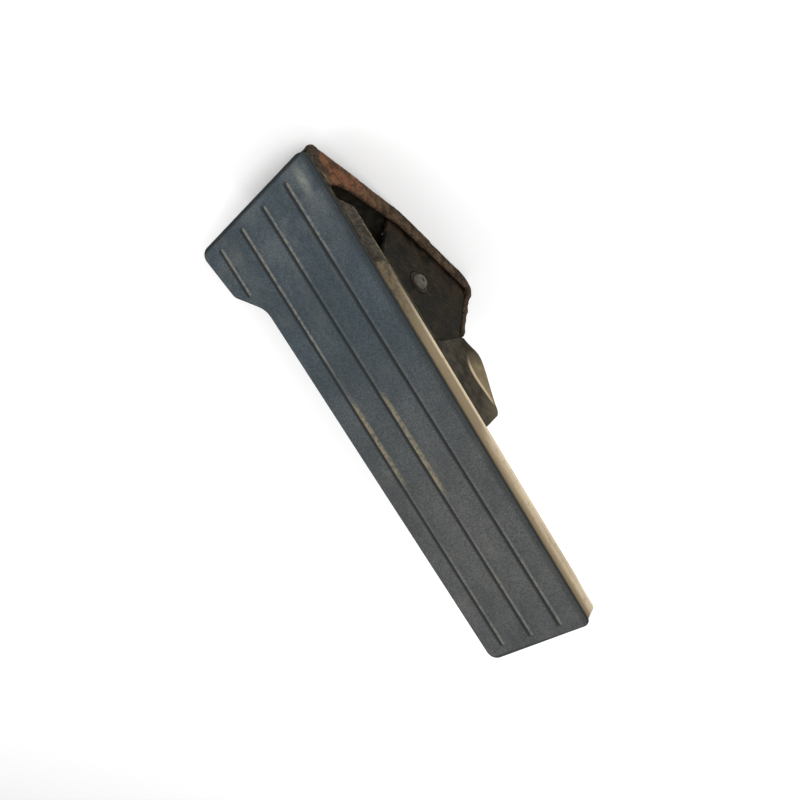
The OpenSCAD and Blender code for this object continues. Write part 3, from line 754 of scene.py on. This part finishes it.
def tread_plate():
    """Pressed plate: a bend along its edge turns into the skirt, which ends in a rolled lip."""
    bend_bottom, plain_edge, full_drop = 44.6, 43.9, 43.6 - SKIRT_BOTTOM
    outside, inside = 0.8, 2.6
    depth = []
    for p in OUTLINE:
        into = p.y - SKIRT_START
        if into <= 0:
            depth.append(0.0)
        else:
            reach = max(0.0, SKIRT_ROUNDING - into)
            corner = SKIRT_ROUNDING - math.sqrt(max(0.0, SKIRT_ROUNDING ** 2 - reach ** 2))
            depth.append((full_drop - corner) / full_drop)
    bottom = [plain_edge + (SKIRT_BOTTOM - plain_edge) * d for d in depth]

    def between(share):
        return [bend_bottom + (b - bend_bottom) * share for b in bottom]

    def hem(outer):
        # Full along the skirt, thin where there is no skirt and at the toe
        return [
            outside - outer * max(0.2, min(1.0, d * 1.5) * (1 - ease(p.y, 185, 202)))
            for p, d in zip(OUTLINE, depth)
        ]

    # The innermost rings stay inside the pad's tightest corner
    bend = PLATE_TOP - bend_bottom
    rings = [plan_ring(3.8, PLATE_TOP), plan_ring(3.5, PLATE_TOP)]
    for k in range(5):
        a = math.radians(22.5 * k)
        rings.append(plan_ring(3.2 - bend * math.sin(a), bend_bottom + bend * math.cos(a)))
    rings += [plan_ring(outside, between(s)) for s in (0.25, 0.5, 0.72)]
    rings += [plan_ring(hem(o), between(s)) for o, s in (
        (0.1, 0.82), (0.4, 0.89), (0.65, 0.94), (0.7, 0.975), (0.5, 0.995), (-0.1, 1.0),
        (-0.9, 1.0), (-1.6, 0.985), (-1.8, 0.94))]
    rings += [plan_ring(inside, between(s)) for s in (0.7, 0.4, 0.15)]
    rings += [plan_ring(3.0, PLATE_BOTTOM + 0.02), plan_ring(3.4, PLATE_BOTTOM)]
    rings.append(plan_ring(3.8, PLATE_BOTTOM))
    bm = bmesh.new()
    loft(bm, rings)
    new_piece("tread_plate_pressing", bm, "treadle", DUSTY, ["tread_plate"], True)


def treadle_frame():
    """Pressed channel under the plate, with its lobes and their flared lips."""
    # Lower edge of the side webs, where the lip starts above it, and how far it flares out
    edge = [(-62, 37), (-54, 24.6), (-52, 24), (34, 24), (35.5, 20), (40.4, -3.5), (41.8, -5.6),
            (44, -4.6), (49, -2.4), (56, -0.2), (69, 2.6), (80, 4.6), (85.5, 5.4), (87.6, 6.0),
            (89, 7.0), (89.7, 8.4), (90, 10)]
    lip = [(-62, 0.8), (40, 0.8), (44, 1.4), (48, 3.3), (52, 6.0), (56, 7.9), (59, 8.4), (63, 8.1),
           (68, 6.9), (73, 5.3), (79, 3.5), (85, 1.8), (90, 0.8)]
    flare = [(39, 0.0), (43, 1.0), (47, 2.9), (51, 4.8), (54, 5.8), (56.5, 6.1), (60, 5.8), (66, 4.9),
             (72, 3.6), (78, 2.3), (84, 1.0), (90, 0.1)]
    stations = [-62, -61.6, -61, -60, -58, -56, -54.6, -53.4, -52, -50, -40, -20, 0, 20, 30, 33, 34]
    stations += [34.5 + 0.5 * k for k in range(20)] + [45 + 1.25 * k for k in range(34)]
    stations += [87.6, 88.3, 88.8, 89.2, 89.5, 89.7, 90]
    bend = 3
    rings = []
    for y in stations:
        low = straight(y, edge)
        fold = low + straight(y, lip)
        out = straight(y, flare)
        # The heel end's edges are drawn in a little
        tuck = 0.5 * (1 - min(1, (y - FRAME_START) / 0.9) ** 2)
        top = FRAME_TOP - tuck * 0.3
        outer = [(0.0, top), (14.0, top), (27.0, top)]
        for k in range(5):
            a = math.radians(22.5 * k)
            outer.append((FRAME_FACE - bend + bend * math.sin(a), top - bend + bend * math.cos(a)))
        web_start = len(outer)
        for share in (0.3, 0.6, 0.85, 1.0):
            outer.append((FRAME_FACE, top - bend + (fold - top + bend) * share))
        for share in (0.2, 0.4, 0.6, 0.8, 0.93):
            outer.append((FRAME_FACE + out * share ** 1.5, fold + (low - fold) * share))
        tip_x = FRAME_FACE + out
        inner = [(27.0, FRAME_BOTTOM), (28.6, FRAME_BOTTOM - 0.05), (29.7, FRAME_BOTTOM - 0.5),
                 (30.3, FRAME_BOTTOM - 1.4)]
        inner += [(x - FRAME_WALL - tuck, z) for x, z in outer[web_start:]]
        lower_edge = [(tip_x - 0.35, low - 0.1), (tip_x - FRAME_WALL + 0.35, low - 0.1)]
        back = inner[::-1] + [(14.0, FRAME_BOTTOM), (0.0, FRAME_BOTTOM)]
        right = outer + lower_edge + back
        left = [(-x, z) for x, z in reversed(right[1:-1])]
        rings.append([Vector((x, y, z)) for x, z in right + left])
    bm = bmesh.new()
    loft(bm, rings)
    new_piece("treadle_channel", bm, "treadle", FRAME, ["treadle_frame"], True)


def return_springs():
    """Torsion springs with a leg on the pan and one under the frame; their coils twist between them."""
    first, last, turns = math.radians(-60), REST_SLOPE - math.radians(41), 3
    radius, start_x, end_x, wire_radius = 10.5, 3.6, 15.6, 1.5
    steps = 34 * turns
    sweep = last - first + math.tau * turns

    def coil(i):
        a = first + sweep * i / steps
        x = start_x + (end_x - start_x) * i / steps
        return Vector((x, radius * math.cos(a), radius * math.sin(a)))

    def heading(a):
        return Vector((0, -math.sin(a), math.cos(a)))

    pan_leg, frame_leg = (45, 30, 15, 3), (3, 20, 40, 62.5)
    path = [coil(0) - heading(first) * d for d in pan_leg]
    path += [coil(i) for i in range(steps + 1)]
    path += [coil(steps) + heading(last) * d for d in frame_leg]
    for side, node in ((1, "spring_right"), (-1, "spring_left")):
        bm = bmesh.new()
        tube(bm, [Vector((side * p.x, p.y, p.z)) + PIVOT / MM for p in path], wire_radius)
        wire = new_piece(node + "_wire", bm, None, SPRING, [node])
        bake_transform(wire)


def pivot_pin():
    """Turned pin with a domed, dimpled head and a flat at its drive end."""
    profile = [
        (0, -32.0), (0.6, -32.1), (1.0, -32.7), (1.35, -33.4), (1.75, -33.65), (2.8, -33.55),
        (3.5, -33.25), (4.05, -32.6), (4.4, -31.6), (4.55, -30.6), (4.75, -30.2), (4.75, 38.2),
        (4.3, 38.65), (0, 38.7),
    ]
    flat_start, flat_height = 32.7, 3.0
    bm = bmesh.new()
    lathe(bm, profile, sides=48)
    for v in bm.verts:
        if v.co.z > flat_start:
            v.co.y = min(v.co.y, flat_height)
    across = Matrix.Rotation(math.radians(90), 4, "Y")
    bm.transform(Matrix.Translation(PIVOT / MM) @ across @ Matrix.Rotation(math.radians(-90), 4, "Z"))
    new_piece("pivot_pin_turned", bm, "treadle", PIN, ["pivot_pin"])


def weld_runs():
    """Fillet welds inside the cheeks and beside the lugs."""
    cheek_side, lug_side = 24.9, 17.4
    bm = bmesh.new()
    for side in (-1, 1):
        for k, y in enumerate((-22, 2)):
            start = Vector((side * cheek_side, y, 4.8))
            rough_bead(bm, start, start + Vector((0, 20, 0)), 1.7, 3 * side + k)
    new_piece("cheek_weld_runs", bm, "bracket", WELD, ["weld_beads"], crease=70)
    bm = bmesh.new()
    for side in (-1, 1):
        start = Vector((side * lug_side, -15, 40.7))
        rough_bead(bm, start, start + Vector((0, 30, 0)), 1.8, 7 * side)
    new_piece("lug_weld_runs", bm, "treadle", WELD, ["lug_welds"], True, crease=70)


# ---- The bracket ----


def lumps(point, size, amount):
    """Slow lumps about size millimetres across."""
    return amount * noise.noise(point / size)


def pan_roughness(p):
    """Pitting everywhere, with heavier lumps on the front edges and the nose's tip."""
    rough = lumps(p, 7, 0.22) + lumps(p, 2.4, 0.12)
    front = ease(p.y, 38, 43) * ease(p.z, 8, 14)
    tip = ease(-p.y, 86, 93)
    return rough + (front + tip) * (lumps(p, 5.5, 0.5) + 0.05)


def cheek_roughness(p):
    return lumps(p, 9, 0.16) + lumps(p, 2.2, 0.07)


def bracket():
    """Pan, cheeks and the smaller fixed parts."""
    weathered("base_pan", "bracket", RUST, 0.8, pan_roughness)
    weathered("cheek_left", "bracket", GRIMY, 0.8, cheek_roughness)
    weathered("cheek_right", "bracket", GRIMY, 0.8, cheek_roughness)
    weathered("heel_rest", "bracket", RUST, 0.7, cheek_roughness)
    softened("heel_buffer", "bracket", BLACK_RUBBER, 0.8, 3)
    softened("pivot_bushes", "bracket", BRONZE, 0.25)
    softened("thrust_washers", "bracket", PLATED, 0.15)
    softened("stop_bracket", "bracket", GRIMY, 0.7, 3)
    softened("stop_screw", "bracket", PLATED, 0.5)
    softened("stop_nut", "bracket", PLATED, 0.5)
    softened("stop_cap", "bracket", BLACK_RUBBER, 0.4)
    softened("spring_anchor", "bracket", GRIMY, 0.5)
    softened("sensor_housing", "bracket", BLACK_PLASTIC, 0.8, 3)
    softened("sensor_cover", "bracket", BLACK_PLASTIC, 0.3, 3)
    softened("sensor_screws", "bracket", PLATED, 0.4)
    softened("sensor_board", "bracket", BOARD, 0.15)
    softened("connector_pins", "bracket", BRASS, 0.2)


def treadle_fittings():
    """Lugs, rivets and the pin's smaller parts."""
    softened("lug_left", "treadle", GRIMY, 0.6, 3)
    softened("lug_right", "treadle", GRIMY, 0.6, 3)
    softened("frame_rivets", "treadle", PLATED, 0.35)
    softened("drive_key", "treadle", PLATED, 0.2)
    softened("spring_sleeve", "treadle", BLACK_PLASTIC, 0.4)
    softened("sensor_rotor", "treadle", ROTOR_PLASTIC, 0.3)


# ---- Stage ----


def pale_floor():
    """Wide matt floor."""
    floor_mesh = bpy.data.meshes.new("floor")
    reach = 60
    floor_mesh.from_pydata(
        [(-reach, -reach, 0), (reach, -reach, 0), (reach, reach, 0), (-reach, reach, 0)], [],
        [(0, 1, 2, 3)])
    floor = bpy.data.objects.new("floor", floor_mesh)
    bpy.context.scene.collection.objects.link(floor)
    paint = bpy.data.materials.new("floor_paint")
    paint.use_nodes = True
    shader = paint.node_tree.nodes["Principled BSDF"]
    shader.inputs["Base Color"].default_value = (0.97, 0.97, 0.97, 1)
    shader.inputs["Roughness"].default_value = 0.9
    floor_mesh.materials.append(paint)


def soft_light():
    """White surroundings and three broad lamps turned to the middle of the object."""
    world = bpy.data.worlds.new("studio")
    world.use_nodes = True
    sky = world.node_tree.nodes["Background"]
    sky.inputs["Color"].default_value = (1.0, 1.0, 1.0, 1)
    sky.inputs["Strength"].default_value = 0.62
    bpy.context.scene.world = world

    middle = Vector((0, 0.03, 0.08))
    for name, place, size, power in (
        ("key", (-0.9, -0.35, 1.15), 0.7, 13.0),
        ("fill", (0.9, -0.6, 0.9), 1.2, 5.0),
        ("back", (0.2, 1.2, 1.0), 1.0, 6.0),
    ):
        light = bpy.data.lights.new(name, "AREA")
        light.size = size
        light.energy = power
        lamp = bpy.data.objects.new(name, light)
        lamp.location = place
        lamp.rotation_euler = (middle - Vector(place)).to_track_quat("-Z", "Y").to_euler()
        bpy.context.scene.collection.objects.link(lamp)


def main_camera():
    """Camera that looks down at the cheek side, turned over so that the heel is at the top."""
    azimuth, elevation, roll, distance = 313.84, 43.5, -174.18, 0.58
    aim = Vector((0.0351, 0.0568, 0.0541))
    a, e = math.radians(azimuth), math.radians(elevation)
    back = Vector((math.sin(a) * math.cos(e), -math.cos(a) * math.cos(e), math.sin(e)))
    camera = bpy.data.objects.new("camera", bpy.data.cameras.new("camera"))
    camera.data.sensor_width = 36
    camera.data.lens = 40.5
    facing = (-back).to_track_quat("-Z", "Y").to_matrix().to_4x4()
    turned = facing @ Matrix.Rotation(math.radians(roll), 4, "Z")
    camera.matrix_world = Matrix.Translation(aim + back * distance) @ turned
    bpy.context.scene.collection.objects.link(camera)
    bpy.context.scene.camera = camera
    bpy.context.scene.view_settings.view_transform = "Standard"


pale_floor()
soft_light()
main_camera()
tread_pad()
tread_plate()
treadle_frame()
treadle_fittings()
pivot_pin()
return_springs()
weld_runs()
bracket()
